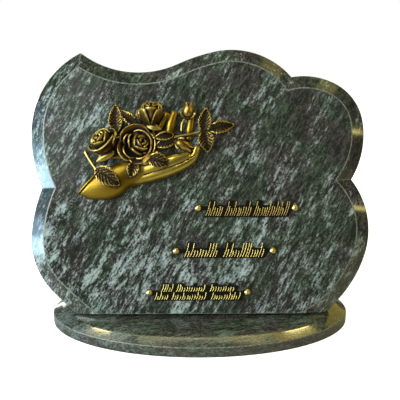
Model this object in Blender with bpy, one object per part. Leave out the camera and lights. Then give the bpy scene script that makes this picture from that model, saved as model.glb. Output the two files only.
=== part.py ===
# Memorial plaque: a lobed granite tablet leaning back on an elliptical granite base,
# with a bronze hand and roses, three bronze inscription strips and six domed screws.
# Metres, +Z up, front towards -Y. The origin is under the middle of the base.

from math import asin, atan2, ceil, cos, pi, radians, sin, sqrt, tan

import bmesh
import bpy
from mathutils import Matrix, Vector

MM = 0.001
CLEARANCE = 0.3 * MM  # between pieces that touch

# Base slab
BASE_LENGTH = 360 * MM
BASE_DEPTH = 210 * MM
BASE_THICKNESS = 20 * MM
BASE_BEVEL_WIDTH = 16 * MM
BASE_BEVEL_DROP = 8 * MM
BASE_SIDES = 96

# Tablet
TABLET_THICKNESS = 20 * MM
TABLET_BEVEL_WIDTH = 16 * MM
TABLET_BEVEL_DEPTH = 8 * MM
TABLET_LEAN = radians(18)  # backwards from upright
TABLET_FOOT_FORWARD = 44 * MM  # front foot edge, in front of the base's middle
TABLET_SEAT = 10 * MM  # back part of the foot that is dressed level to sit on the base
TABLET_FOOT_CORNER = 6.0  # round of the two foot corners, millimetres
ARC_TURN = radians(4.5)  # most turn between two points of the outline

# Tablet outline, clockwise from the left end of the foot, in millimetres across and up the
# slab. A stretch is a chain of arcs that run smoothly into each other: the first arc's
# centre and radius, then for each joint the direction of the outline's normal there, in
# degrees, and the next radius. A radius below zero is a hollow. Stretches meet at corners.
OUTLINE = (
    ((108.9, 308.4), 400.0, ((225.0, 89.0), (176.0, 179.0))),  # flank and lower left lobe
    ((-28.6, 215.0), 172.4, ((180.0, 108.0),)),  # upper left lobe
    ((-73.3, 400.5), -113.3, ((114.9, 208.4), (102.0, 94.6))),  # hollow and crest on top
    ((125.0, 200.4), 82.3, ((63.0, 62.0), (8.0, 104.0))),  # upper right lobe
    ((105.2, 99.1), 95.8, ((-18.4, 143.2),)),  # lower right lobe
)
OUTLINE_MIDDLE = (0.0, 150.0)  # corners are the crossings that lie farther from this point

# Inscription strips, millimetres on the tablet. A row is its left and right end, its foot
# line, the heights of a low and a tall stroke and the height of the plate behind the low
# ones. Words are shares of a row.
STRIP_THICKNESS = 1.6
STRIP_MARGIN = 1.2  # plate beyond the strokes
STROKE_RISE = 0.9
STROKE_WIDTH = 1.3
STROKE_SLANT = radians(18)
LUG_RADIUS = 4.4
NECK_HALF = 2.2
STRIPS = {
    "top": {
        "rows": ((6.5, 103.0, 114.6, 11.4, 17.0, 12.6),),
        "words": ((0.0, 0.2), (0.23, 0.55), (0.58, 1.0)),
        "screws": ((-2.4, 123.8), (111.6, 123.8)),
        "pitch": 4.3,
    },
    "middle": {
        "rows": ((-18.5, 74.5, 66.6, 9.2, 16.0, 10.4),),
        "words": ((0.0, 0.42), (0.49, 1.0)),
        "screws": ((-28.4, 73.6), (85.2, 73.6)),
        "pitch": 4.8,
    },
    "bottom": {
        "rows": ((-53.5, 46.5, 17.0, 5.6, 8.4, 9.8), (-45.5, 40.0, 26.4, 5.6, 8.4, 6.8)),
        "words": ((0.0, 0.16), (0.2, 0.6), (0.66, 1.0)),
        "screws": ((-59.8, 25.1), (55.0, 25.1)),
        "pitch": 3.9,
    },
}

# Domed screw heads, millimetres
SCREW_RADIUS = 3.9
SCREW_HEIGHT = 2.8
SCREW_SIDES = 14

# Hand and roses, millimetres
CASTING_GRAIN = 0.8  # size of the fused surface
CASTING_FACES = 5200
CUFF_POINT = (-133.0, 153.5)
CUFF_NORMAL = (-0.74, 0.67)
PETAL_WALL = 2.0
PETAL_LIP = 0.7  # share of a petal's length where its lip starts to curl
PETAL_ROUND = 3.0  # how square a petal's end is
LEAF_WALL = 2.0


def clear_scene():
    for obj in list(bpy.data.objects):
        bpy.data.objects.remove(obj, do_unlink=True)


def material(name, colour, roughness, metallic):
    made = bpy.data.materials.new(name)
    made.use_nodes = True
    shader = made.node_tree.nodes["Principled BSDF"]
    shader.inputs["Base Color"].default_value = (*colour, 1.0)
    shader.inputs["Roughness"].default_value = roughness
    shader.inputs["Metallic"].default_value = metallic
    return made


def object_from(bm, name, mat=None):
    bmesh.ops.recalc_face_normals(bm, faces=bm.faces[:])
    mesh = bpy.data.meshes.new(name)
    bm.to_mesh(mesh)
    bm.free()
    if mat:
        mesh.materials.append(mat)
    obj = bpy.data.objects.new(name, mesh)
    bpy.context.scene.collection.objects.link(obj)
    return obj


def evaluated_mesh(obj):
    """The object's mesh with its modifiers applied; the object itself is removed."""
    graph = bpy.context.evaluated_depsgraph_get()
    mesh = bpy.data.meshes.new_from_object(obj.evaluated_get(graph))
    bpy.data.objects.remove(obj, do_unlink=True)
    return mesh


def loft(bm, rings):
    """A closed skin over rings of equal count, the first and the last filled."""
    made = [[bm.verts.new(point) for point in ring] for ring in rings]
    count = len(made[0])
    for lower, upper in zip(made, made[1:]):
        for i in range(count):
            j = (i + 1) % count
            bm.faces.new((lower[i], lower[j], upper[j], upper[i]))
    bm.faces.new(list(reversed(made[0])))
    bm.faces.new(made[-1])


def polar(angle, radius=1.0):
    return Vector((radius * cos(angle), radius * sin(angle)))


# Base


def base_ring(inset, height):
    """The ellipse moved inwards by inset, square to its own outline."""
    a, b = BASE_LENGTH / 2, BASE_DEPTH / 2
    ring = []
    for i in range(BASE_SIDES):
        turn = 2 * pi * i / BASE_SIDES
        point = Vector((a * cos(turn), b * sin(turn), height))
        normal = Vector((cos(turn) / a, sin(turn) / b, 0)).normalized()
        ring.append(point - inset * normal)
    return ring


def make_base(mat):
    bm = bmesh.new()
    shoulder = BASE_THICKNESS - BASE_BEVEL_DROP
    rings = [base_ring(0, 0), base_ring(0, shoulder), base_ring(BASE_BEVEL_WIDTH, BASE_THICKNESS)]
    loft(bm, rings)
    return object_from(bm, "base", mat)


# Tablet


def tablet_frame():
    """Matrix from tablet coordinates (across, up the slab, out of its face) to the world."""
    across = Vector((1, 0, 0))
    up = Vector((0, sin(TABLET_LEAN), cos(TABLET_LEAN)))
    out = Vector((0, -cos(TABLET_LEAN), sin(TABLET_LEAN)))
    foot_rise = (TABLET_THICKNESS - TABLET_SEAT) * sin(TABLET_LEAN)
    origin = Vector((0, -TABLET_FOOT_FORWARD, BASE_THICKNESS + CLEARANCE + foot_rise))
    turn = Matrix((across, up, out)).transposed().to_4x4()
    return Matrix.Translation(origin) @ turn


def crossing(centre_a, radius_a, centre_b, radius_b):
    """The crossing of two circles that lies farther from the tablet's middle."""
    gap = (centre_b - centre_a).length
    axis = (centre_b - centre_a) / gap
    along = (radius_a**2 - radius_b**2 + gap**2) / (2 * gap)
    beside = sqrt(max(radius_a**2 - along**2, 0.0)) * Vector((-axis.y, axis.x))
    found = (centre_a + axis * along + beside, centre_a + axis * along - beside)
    return max(found, key=lambda point: (point - Vector(OUTLINE_MIDDLE)).length)


def foot_corner(flank, side):
    """The round between a flank and the foot line: its centre and where it leaves the flank."""
    centre, radius = flank[0], flank[1] - TABLET_FOOT_CORNER
    drop = TABLET_FOOT_CORNER - centre.y
    middle = Vector((centre.x + side * sqrt(radius**2 - drop**2), TABLET_FOOT_CORNER))
    return middle, atan2(middle.y - centre.y, middle.x - centre.x)


def outline_arcs(inset):
    """[centre, radius, first normal, last normal] of each arc, the outline moved in by inset."""
    stretches = []
    for middle, radius, joints in OUTLINE:
        centre, start = Vector(middle), None
        arcs = []
        for degrees, following in joints:
            normal = radians(degrees)
            arcs.append([centre, radius - inset, start, normal])
            centre = centre + polar(normal, radius - following)
            radius, start = following, normal
        arcs.append([centre, radius - inset, start, None])
        stretches.append(arcs)
    for before, after in zip(stretches, stretches[1:]):
        last, first = before[-1], after[0]
        corner = crossing(last[0], abs(last[1]), first[0], abs(first[1]))
        for arc, end in ((last, 3), (first, 2)):
            away = (corner - arc[0]) * (1 if arc[1] > 0 else -1)
            arc[end] = atan2(away.y, away.x)
    left, right = stretches[0][0], stretches[-1][-1]
    left_middle, left[2] = foot_corner(left, -1)
    right_middle, right[3] = foot_corner(right, 1)
    first_corner = [left_middle, TABLET_FOOT_CORNER, -pi / 2, left[2]]
    last_corner = [right_middle, TABLET_FOOT_CORNER, right[3], -pi / 2]
    return [first_corner] + [arc for arcs in stretches for arc in arcs] + [last_corner]


def turn_between(start, end):
    return (end - start + pi) % (2 * pi) - pi


def tablet_ring(inset, depth):
    """Outline points at a depth behind the face. Every ring has the same count."""
    outer = outline_arcs(0.0)
    points = []
    for arc, (centre, radius, start, end) in zip(outer, outline_arcs(inset)):
        sides = ceil(abs(turn_between(arc[2], arc[3])) / ARC_TURN) + 1
        turn = turn_between(start, end)
        for i in range(sides):
            points.append(centre + polar(start + turn * i / sides, radius))
    points.append(centre + polar(end, radius))
    return [Vector((p.x * MM, p.y * MM, -depth)) for p in points]


def dress_seat(bm):
    """Cuts the back of the foot level, so that the leaning slab sits on the base."""
    down = Vector((0, -cos(TABLET_LEAN), -sin(TABLET_LEAN)))
    edge = Vector((0, 0, TABLET_SEAT - TABLET_THICKNESS))
    geometry = bm.verts[:] + bm.edges[:] + bm.faces[:]
    cut = bmesh.ops.bisect_plane(bm, geom=geometry, plane_co=edge, plane_no=down, clear_outer=True)
    rim = [e for e in cut["geom_cut"] if isinstance(e, bmesh.types.BMEdge) and e.is_boundary]
    bmesh.ops.edgenet_fill(bm, edges=rim)


def make_tablet(mat):
    bm = bmesh.new()
    bevel = TABLET_BEVEL_WIDTH / MM
    rings = [tablet_ring(bevel, 0.0), tablet_ring(0.0, TABLET_BEVEL_DEPTH)]
    rings.append(tablet_ring(0.0, TABLET_THICKNESS))
    loft(bm, rings)
    dress_seat(bm)
    obj = object_from(bm, "tablet", mat)
    obj.data.transform(tablet_frame())
    return obj


# Inscription strips


def prism(bm, outline, low, high):
    """A flat-sided solid over an outline of (across, up) points."""
    loft(bm, [[Vector((x, y, low)) for x, y in outline], [Vector((x, y, high)) for x, y in outline]])


def strokes_of(strip):
    """(place, foot line, height) of each stroke: words start tall, and so is one now and then."""
    found = []
    for left, right, foot, low, tall, _ in strip["rows"]:
        for start, end in strip["words"]:
            first = left + (right - left) * start
            room = (right - left) * (end - start)
            count = max(2, round(room / strip["pitch"]))
            for i in range(count):
                height = tall if i < 2 or i % 6 == 5 else low
                found.append((first + room * i / count, foot, height))
    return found


def leaning(x, y, foot):
    return x + (y - foot) * tan(STROKE_SLANT), y


def stroke_outline(x, foot, height):
    half = STROKE_WIDTH / 2
    corners = ((x - half, foot), (x + half, foot), (x + half, foot + height), (x - half, foot + height))
    return [leaning(a, b, foot) for a, b in corners]


def plate_outline(strip, row):
    """The plate of one row, stepped up behind each run of tall strokes."""
    left, right, foot, low, tall, plate = row
    strokes = [stroke for stroke in strokes_of(strip) if stroke[1] == foot]
    reach = STROKE_WIDTH / 2 + STRIP_MARGIN
    bottom, shoulder, level = foot - STRIP_MARGIN, foot + plate, foot + tall + STRIP_MARGIN
    top = [(left - reach, bottom)]
    last_was_tall = False
    for x, _, height in strokes:
        if height > low and not last_was_tall:
            top += [(x - reach, shoulder), (x - reach, level)]
        if height > low:
            run_end = x + reach
        elif last_was_tall:
            top += [(run_end, level), (run_end, shoulder)]
        last_was_tall = height > low
    if last_was_tall:
        top += [(run_end, level), (run_end, shoulder)]
    top += [(right + reach, shoulder), (right + reach, bottom)]
    if top[1][0] <= top[0][0]:
        del top[1]
    return [leaning(a, b, foot) for a, b in reversed(top)]


def lug_outline(screw, towards, row):
    """A round lug with a neck that runs back into the plate of its row."""
    turn = 0 if towards > 0 else pi
    half = asin(NECK_HALF / LUG_RADIUS)
    arc = [turn + half + (2 * pi - 2 * half) * i / 14 for i in range(15)]
    round_part = [(screw[0] + LUG_RADIUS * cos(a), screw[1] + LUG_RADIUS * sin(a)) for a in arc]
    plate_end = row[0] if towards > 0 else row[1]
    end = leaning(plate_end, screw[1], row[2])[0] + towards * STRIP_MARGIN
    low, high = screw[1] - NECK_HALF, screw[1] + NECK_HALF
    return round_part + ([(end, low), (end, high)] if towards > 0 else [(end, high), (end, low)])


def make_strip(name, strip, mat):
    back = CLEARANCE / MM
    top = back + STRIP_THICKNESS
    bodies = []
    for row in strip["rows"]:
        bodies.append((plate_outline(strip, row), back, top))
    for screw, towards in zip(strip["screws"], (1, -1)):
        bodies.append((lug_outline(screw, towards, strip["rows"][0]), back, top))
    bm = bmesh.new()
    prism(bm, *bodies[0])
    plate = object_from(bm, "inscription_strip_" + name, mat)
    for body in bodies[1:]:
        bm = bmesh.new()
        prism(bm, *body)
        join_solid(plate, object_from(bm, "strip_tool"))
    bm = bmesh.new()
    for x, foot, height in strokes_of(strip):
        prism(bm, stroke_outline(x, foot, height), top - STROKE_RISE, top + STROKE_RISE)
    join_solid(plate, object_from(bm, "strip_tool"))
    settle(plate)
    return plate


def join_solid(obj, tool):
    """Boolean union with a helper that stays out of the model."""
    tool.hide_render = True
    tool.display_type = "WIRE"
    union = obj.modifiers.new("union", "BOOLEAN")
    union.operation = "UNION"
    union.object = tool


def settle(obj):
    """Turns millimetres on the tablet into metres in the world."""
    frame = tablet_frame() @ Matrix.Scale(MM, 4)
    obj.matrix_world = frame
    for modifier in obj.modifiers:
        if modifier.type == "BOOLEAN":
            modifier.object.matrix_world = frame


def make_screw(name, place, mat):
    """A domed head: a shallow cap of a sphere over a short edge."""
    bottom = CLEARANCE / MM * 2 + STRIP_THICKNESS
    edge = 0.5
    dome = SCREW_HEIGHT - edge
    sphere = (SCREW_RADIUS**2 + dome**2) / (2 * dome)
    open_angle = asin(SCREW_RADIUS / sphere)
    levels = [(SCREW_RADIUS, 0.0)]
    for i in range(3):
        angle = open_angle * (1 - i / 3)
        levels.append((sphere * sin(angle), edge + sphere * (cos(angle) - cos(open_angle))))
    levels.append((0.35, SCREW_HEIGHT))
    rings = []
    for radius, height in levels:
        turns = [2 * pi * i / SCREW_SIDES for i in range(SCREW_SIDES)]
        points = [Vector((radius * cos(a), radius * sin(a), bottom + height)) for a in turns]
        rings.append([point + Vector((*place, 0)) for point in points])
    bm = bmesh.new()
    loft(bm, rings)
    obj = object_from(bm, name, mat)
    settle(obj)
    return obj


# Hand and roses: every form is a closed skin in tablet millimetres, fused afterwards


def sheet(bm, surface, across, along, wall):
    """A thin closed sheet over surface(s, t), s from -1 to 1 and t from 0 to 1."""
    def at(i, j):
        return surface(2 * i / across - 1, j / along)

    def normal(i, j):
        step = 0.02
        s, t = 2 * i / across - 1, j / along
        ds = surface(min(s + step, 1), t) - surface(max(s - step, -1), t)
        dt = surface(s, min(t + step, 1)) - surface(s, max(t - step, 0))
        return ds.cross(dt).normalized()

    front, back = {}, {}
    for i in range(across + 1):
        for j in range(along + 1):
            shift = normal(i, j) * (wall / 2)
            front[i, j] = bm.verts.new(at(i, j) + shift)
            back[i, j] = bm.verts.new(at(i, j) - shift)
    for i in range(across):
        for j in range(along):
            quad = ((i, j), (i + 1, j), (i + 1, j + 1), (i, j + 1))
            bm.faces.new([front[k] for k in quad])
            bm.faces.new([back[k] for k in reversed(quad)])
    rim = [(i, 0) for i in range(across)] + [(across, j) for j in range(along)]
    rim += [(i, along) for i in range(across, 0, -1)] + [(0, j) for j in range(along, 0, -1)]
    for a, b in zip(rim, rim[1:] + rim[:1]):
        bm.faces.new((front[b], front[a], back[a], back[b]))


def through(points, share):
    """A smooth curve through the points (any number of values each), share from 0 to 1."""
    spans = len(points) - 1
    place = min(share * spans, spans - 1e-9)
    i = int(place)
    t = place - i
    p = [points[min(max(i + k, 0), spans)] for k in (-1, 0, 1, 2)]
    found = []
    for a, b, c, d in zip(*p):
        found.append(0.5 * (2 * b + (c - a) * t + (2 * a - 5 * b + 4 * c - d) * t**2
                            + (3 * b - a - 3 * c + d) * t**3))
    return found


def limb(bm, stations, sides=10, steps=10):
    """A round-ended tube through stations of (across, up, out, half width, half height)."""
    rings = []
    rows = [through(stations, i / steps) for i in range(steps + 1)]
    for i, (x, y, z, wide, high) in enumerate(rows):
        before, after = rows[max(i - 1, 0)], rows[min(i + 1, steps)]
        along = Vector((after[0] - before[0], after[1] - before[1], 0)).normalized()
        beside = Vector((-along.y, along.x, 0))
        ring = []
        for k in range(sides):
            a = 2 * pi * k / sides
            ring.append(Vector((x, y, z)) + beside * wide * cos(a) + Vector((0, 0, high * sin(a))))
        rings.append(ring)
    for end, step in ((0, 1), (-1, -2)):
        tip = sum(rings[end], Vector()) / sides
        outward = (tip - sum(rings[step], Vector()) / sides).normalized()
        bulge = 0.45 * min(rows[end][3], rows[end][4])
        cap = [tip + (point - tip) * 0.6 + outward * bulge for point in rings[end]]
        rings.insert(0 if end == 0 else len(rings), cap)
    loft(bm, rings)


def leaf(bm, base, tip, width, lift=1.5, fold=0.35, bend=0.0):
    """A pointed leaf from base to tip (across, up, out), creased along its middle rib."""
    base, tip = Vector(base), Vector(tip)
    along = tip - base
    beside = Vector((-along.y, along.x, 0)).normalized()

    def surface(s, t):
        half = width / 2 * sin(pi * min(t**0.8, 1.0)) ** 0.75 + 0.25
        middle = base + along * t + beside * bend * sin(pi * t)
        rise = lift * sin(pi * t) + fold * half * abs(s)
        return middle + beside * half * s + Vector((0, 0, rise))

    sheet(bm, surface, 4, 6, LEAF_WALL)


def bloom_frame(axis):
    """Two directions square to a bloom's axis, the first level with the tablet."""
    axis = Vector(axis).normalized()
    first = Vector((0, 0, 1)).cross(axis)
    first = first.normalized() if first.length > 0.01 else Vector((1, 0, 0))
    return axis, first, axis.cross(first)


def petal(bm, centre, axis, facing, spread, rim, height, close=0.0, curl=0.0, point=0.2):
    """One petal of a bowl round the axis: it rises from the middle out to its rim."""
    axis, first, second = bloom_frame(axis)
    centre = Vector(centre)

    def surface(s, t):
        t = t * (1 - point * abs(s) ** PETAL_ROUND)
        lip = max(0.0, (t - PETAL_LIP) / (1 - PETAL_LIP)) ** 2
        turn = facing + spread / 2 * s
        reach = rim * sin((pi / 2 + close) * t) + curl * lip
        rise = height * (1 - cos(pi / 2 * t)) - curl * lip
        away = first * cos(turn) + second * sin(turn)
        return centre + away * max(reach, 0.3) + axis * rise

    sheet(bm, surface, 6, 5, PETAL_WALL)


def rose(bm, centre, axis, rings):
    """Rings of petals: count, first facing and spread in degrees, rim, height, close, curl, point."""
    for count, facing, spread, *shape in rings:
        for i in range(count):
            turn = radians(facing + 360 * i / count)
            petal(bm, centre, axis, turn, radians(spread), *shape)


def bud(bm, base, tip, radius, sepals=3):
    """A closed bud on a cup of pointed sepals."""
    base, tip = Vector(base), Vector(tip)
    along = tip - base
    stations = []
    for share, wide in ((0, 0.45), (0.3, 1.0), (0.65, 0.85), (1, 0.3)):
        place = base + along * share
        stations.append((place.x, place.y, place.z, radius * wide, radius * wide))
    limb(bm, stations, 8, 6)
    beside = Vector((-along.y, along.x, 0)).normalized()
    for i in range(sepals):
        side = 2 * i / (sepals - 1) - 1
        end = base + along * 0.35 + beside * side * radius * 1.6 + Vector((0, 0, radius * 0.7))
        leaf(bm, base, end, radius * 0.9, 0.8, 0.0)


def hand(bm):
    """Forearm, palm, the two ridges of its near edge and three raised fingers."""
    forearm = ((-147, 150, 0, 8, 7), (-132, 150.5, 0, 15, 10), (-118, 150.5, 0, 17, 12),
               (-106, 153.5, 0, 19, 13), (-92, 162, 1, 16.5, 12), (-80, 168, 2, 15.5, 10))
    limb(bm, forearm, 14, 12)
    palm = ((-88, 163, 1, 15, 10), (-66, 168, 2, 14, 10), (-42, 178, 3, 11, 9), (-20, 185, 3, 6, 6))
    limb(bm, palm, 12, 9)
    ridge = ((-66, 164.5, 6, 5.5, 5), (-46, 171, 8, 6, 5.5), (-28, 179, 9, 5.5, 5), (-12.5, 185, 8, 4, 4))
    limb(bm, ridge, 10, 9)
    edge = ((-82, 154.5, 3, 5, 5), (-52, 161, 5, 5, 5), (-28, 170, 6, 5, 5), (-9.5, 182, 6, 4.8, 5),
            (-4, 195.5, 7, 4.2, 4))
    limb(bm, edge, 10, 12)
    fingers = (
        ((-49, 216, 3, 4, 4), (-46, 225, 5, 4.2, 4), (-41.5, 234, 6, 3.8, 3.6)),
        ((-34, 205, 3, 4, 4), (-33, 222, 6, 4.8, 4.4), (-30, 236, 6, 3.8, 3.6)),
        ((-13, 205, 2, 3.6, 3.4), (-12, 218, 3, 3.8, 3.4), (-10, 232, 3, 3.2, 3)),
    )
    for finger in fingers:
        limb(bm, finger, 10, 9)


def bed(bm):
    """The low mass behind the flowers that carries them."""
    middle = ((-118, 190, 0, 9, 5), (-98, 195, 0, 13, 4), (-72, 198, 0, 17, 3.5), (-52, 206, 0, 14, 4.5))
    limb(bm, middle, 12, 8)
    limb(bm, ((-76, 206, 0, 10, 5), (-62, 224, 0, 8, 6), (-57, 238, 0, 5, 5)), 10, 6)
    limb(bm, ((-56, 200, 0, 12, 5), (-36, 205, 0, 8, 5), (-16, 206, 0, 4, 4)), 10, 6)


def roses(bm):
    # The open rose: a ring of wide petals round a bud that leans to the upper right.
    open_ring = (
        (1, 105, 128, 21, 15, 0.0, 3.4, 0.22),
        (1, 205, 98, 20.5, 13.5, 0.0, 3.2, 0.25),
        (1, 285, 96, 20, 14.5, 0.0, 3.0, 0.25),
        (1, 10, 110, 19.5, 12.5, 0.0, 2.6, 0.25),
        (1, 45, 120, 17, 14.5, 0.0, 0.8, 0.2),
        (1, -40, 110, 16.5, 14, 0.0, 0.8, 0.2),
    )
    rose(bm, (-73.5, 197.6, 0), (0, 0, 1), open_ring)
    open_bud = (
        (3, 95, 140, 12.5, 17, 0.2, 0.6, 0.3),
        (3, 35, 140, 9.6, 18.5, 0.3, 0.0, 0.2),
        (3, 95, 140, 6.6, 19.5, 0.35, 0.0, 0.2),
        (2, 30, 200, 3.6, 20, 0.4, 0.0, 0.1),
    )
    rose(bm, (-77, 195.5, 2), (0.6, 0.33, 0.78), open_bud)
    # The rose above it, half open: two pointed petals in front whose rims meet in a V.
    top_petals = (
        (1, 22, 130, 12.5, 24, 0.2, 0.0, 0.6),
        (1, 158, 130, 12.5, 24, 0.2, 0.0, 0.6),
        (1, 270, 190, 12, 25, 0.3, 0.0, 0.2),
        (3, 90, 140, 8.8, 25, 0.35, 0.0, 0.2),
        (3, 30, 140, 6, 26, 0.4, 0.0, 0.2),
        (2, 0, 200, 3.2, 26.5, 0.4, 0.0, 0.1),
    )
    rose(bm, (-57, 221.5, 4), (0.05, 1.0, 0.55), top_petals)
    # The rose on the left, half open: one wide petal in front with a straight rim.
    left_petals = (
        (1, 180, 120, 15.5, 14, 0.0, 2.0, 0.2),
        (1, 90, 150, 13, 17, 0.2, 0.6, 0.1),
        (1, 10, 130, 13, 19, 0.2, 0.6, 0.2),
        (1, 250, 150, 13, 20, 0.25, 0.6, 0.2),
        (3, 40, 140, 9.6, 20.5, 0.35, 0.0, 0.2),
        (3, 100, 140, 6.6, 21.5, 0.4, 0.0, 0.2),
        (2, 30, 200, 3.6, 22, 0.4, 0.0, 0.1),
    )
    rose(bm, (-107.5, 193.5, 3), (-0.7, 0.72, 0.75), left_petals)
    # Petals that have dropped open: base point, tip, width.
    dropped = (
        ((-112, 189, 6), (-130, 197.5, 7), 9),
        ((-102, 191, 8), (-121, 178, 5), 9),
        ((-65, 177, 7), (-49, 189, 8), 9),
        ((-70, 222, 6), (-73.5, 239, 6), 7),
        ((-60, 219.5, 9), (-44, 216.5, 8), 7),
    )
    for base, tip, width in dropped:
        leaf(bm, base, tip, width, 3.0, -0.3)
    bud(bm, (-15.5, 229, 6), (-14.8, 247, 7), 5.6)
    bud(bm, (-29, 202, 9), (-8.5, 191.5, 10), 4.6)


def greenery(bm):
    """Leaves and stems: base point, tip, width."""
    leaves = (
        ((-98.6, 214, 5), (-99.3, 245.5, 4), 15.5),
        ((-74, 222, 6), (-91.5, 237.5, 5), 11),
        ((-32, 210, 7), (-52, 206.5, 8), 9),
        ((-30, 204, 6), (-52, 197, 7), 12),
        ((-56, 181, 8), (-36, 177, 7), 15),
        ((-80.5, 178, 7), (-82.5, 160, 6), 15),
        ((-121.5, 169.5, 10), (-94, 154, 11), 16),
        ((5, 212.5, 6), (7.4, 241, 3.5), 14),
        ((12, 216, 6), (39, 221.8, 3.5), 13),
        ((4.5, 213, 6), (8.8, 190, 3.5), 16),
    )
    for base, tip, width in leaves:
        leaf(bm, base, tip, width)
    stems = (
        ((-135, 190.5, 3, 2, 2), (-129, 180, 5, 1.6, 1.6), (-121, 169, 9, 1.6, 1.6)),
        ((-30, 207, 7, 2, 2), (-5, 212, 7, 1.5, 1.5), (16, 217, 7, 1.3, 1.3), (38, 221.5, 4.5, 0.9, 0.9)),
        ((-21.2, 210, 6, 1.6, 1.6), (-21.2, 222, 6, 1.5, 1.5), (-16, 230, 6, 1.8, 1.8)),
    )
    for stem in stems:
        limb(bm, stem, 6, 8)


def keep_largest(bm):
    """Drops the specks and sealed bubbles that fusing leaves."""
    left = set(bm.verts)
    bodies = []
    while left:
        body, front = set(), [left.pop()]
        while front:
            vert = front.pop()
            body.add(vert)
            for edge in vert.link_edges:
                other = edge.other_vert(vert)
                if other in left:
                    left.remove(other)
                    front.append(other)
        bodies.append(body)
    bodies.sort(key=len)
    bmesh.ops.delete(bm, geom=[vert for body in bodies[:-1] for vert in body], context="VERTS")


def cut_cuff(bm):
    """The sleeve end is cut straight across at a slant."""
    point, normal = Vector((*CUFF_POINT, 0)), Vector((*CUFF_NORMAL, 0)).normalized()
    geometry = bm.verts[:] + bm.edges[:] + bm.faces[:]
    bmesh.ops.bisect_plane(bm, geom=geometry, plane_co=point, plane_no=normal, clear_outer=True)
    bmesh.ops.holes_fill(bm, edges=[e for e in bm.edges if e.is_boundary], sides=0)


def make_casting(mat):
    """All forms fused into one skin, then flattened behind and thinned to few faces."""
    bm = bmesh.new()
    hand(bm)
    cut_cuff(bm)
    bed(bm)
    roses(bm)
    greenery(bm)
    forms = object_from(bm, "forms")
    fuse = forms.modifiers.new("fuse", "REMESH")
    fuse.mode = "VOXEL"
    fuse.voxel_size = CASTING_GRAIN
    fused = evaluated_mesh(forms)
    bm = bmesh.new()
    bm.from_mesh(fused)
    keep_largest(bm)
    back = Vector((0, 0, CLEARANCE / MM))
    geometry = bm.verts[:] + bm.edges[:] + bm.faces[:]
    out = Vector((0, 0, 1))
    bmesh.ops.bisect_plane(bm, geom=geometry, plane_co=back, plane_no=out, clear_inner=True)
    bmesh.ops.holes_fill(bm, edges=[e for e in bm.edges if e.is_boundary], sides=0)
    keep_largest(bm)
    bmesh.ops.triangulate(bm, faces=bm.faces[:])
    thinned = object_from(bm, "thinned")
    thin = thinned.modifiers.new("thin", "DECIMATE")
    thin.ratio = CASTING_FACES / len(thinned.data.polygons)
    mesh = evaluated_mesh(thinned)
    obj = bpy.data.objects.new("hand_and_roses", mesh)
    bpy.context.scene.collection.objects.link(obj)
    mesh.materials.append(mat)
    mesh.transform(tablet_frame() @ Matrix.Scale(MM, 4))
    return obj


clear_scene()
granite = material("granite", (0.105, 0.115, 0.105), 0.12, 0.0)
bronze = material("bronze", (0.35, 0.25, 0.07), 0.35, 1.0)
strip_bronze = material("strip bronze", (0.22, 0.16, 0.06), 0.4, 1.0)
brass = material("brass", (0.75, 0.62, 0.32), 0.22, 1.0)
make_base(granite)
make_tablet(granite)
make_casting(bronze)
for strip_name, strip_values in STRIPS.items():
    make_strip(strip_name, strip_values, strip_bronze)
    for side_name, screw_place in zip(("left", "right"), strip_values["screws"]):
        make_screw(f"screw_{strip_name}_{side_name}", screw_place, brass)
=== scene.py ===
# Looks of a granite memorial plaque: a lobed tablet leaning back on an elliptical foot, with a
# bronze hand and roses, three bronze strips of raised strokes and six domed screws.
# Metres, +Z up, front towards -Y. Work on the tablet's face is in millimetres across it, up it
# and out of it, from the middle of its foot.
from math import asin, cos, exp, pi, radians, sin

import bmesh
import bpy
import numpy as np
from mathutils import Matrix, Vector
from mathutils.bvhtree import BVHTree
from mathutils.kdtree import KDTree


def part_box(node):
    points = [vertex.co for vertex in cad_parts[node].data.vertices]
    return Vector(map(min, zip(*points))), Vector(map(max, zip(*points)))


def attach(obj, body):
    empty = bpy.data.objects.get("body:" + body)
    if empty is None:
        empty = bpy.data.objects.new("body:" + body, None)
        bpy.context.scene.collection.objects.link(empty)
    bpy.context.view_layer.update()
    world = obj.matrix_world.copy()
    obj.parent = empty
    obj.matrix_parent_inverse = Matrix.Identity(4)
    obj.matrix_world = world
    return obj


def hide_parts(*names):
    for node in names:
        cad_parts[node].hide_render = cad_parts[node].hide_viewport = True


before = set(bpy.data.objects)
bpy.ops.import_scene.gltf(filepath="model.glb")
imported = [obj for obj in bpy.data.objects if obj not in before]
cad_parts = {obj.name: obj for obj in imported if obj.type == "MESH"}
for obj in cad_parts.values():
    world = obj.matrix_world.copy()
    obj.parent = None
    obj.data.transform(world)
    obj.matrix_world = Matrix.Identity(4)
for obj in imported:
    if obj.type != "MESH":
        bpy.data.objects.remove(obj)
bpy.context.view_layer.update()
mm = 0.001
body = "root"

# How the tablet stands on its foot, the same sizes as in the solids
stand = {
    "lean": radians(18),
    "footForward": 44,  # front edge of the tablet's foot, in front of the middle
    "thickness": 20,
    "seat": 10,  # back part of the foot, dressed level
    "clearance": 0.3,
}
across = Vector((1, 0, 0))
upward = Vector((0, sin(stand["lean"]), cos(stand["lean"])))
outward = Vector((0, -cos(stand["lean"]), sin(stand["lean"])))


def tabletFrame():
    footRise = stand["clearance"] + (stand["thickness"] - stand["seat"]) * sin(stand["lean"])
    origin = Vector((0, -stand["footForward"] * mm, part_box("base")[1].z + footRise * mm))
    turn = Matrix((across, upward, outward)).transposed().to_4x4()
    return Matrix.Translation(origin) @ turn @ Matrix.Scale(mm, 4)


onTablet = tabletFrame()


# A wire is one socket of a node tree. Sums on wires add Math nodes.


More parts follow.
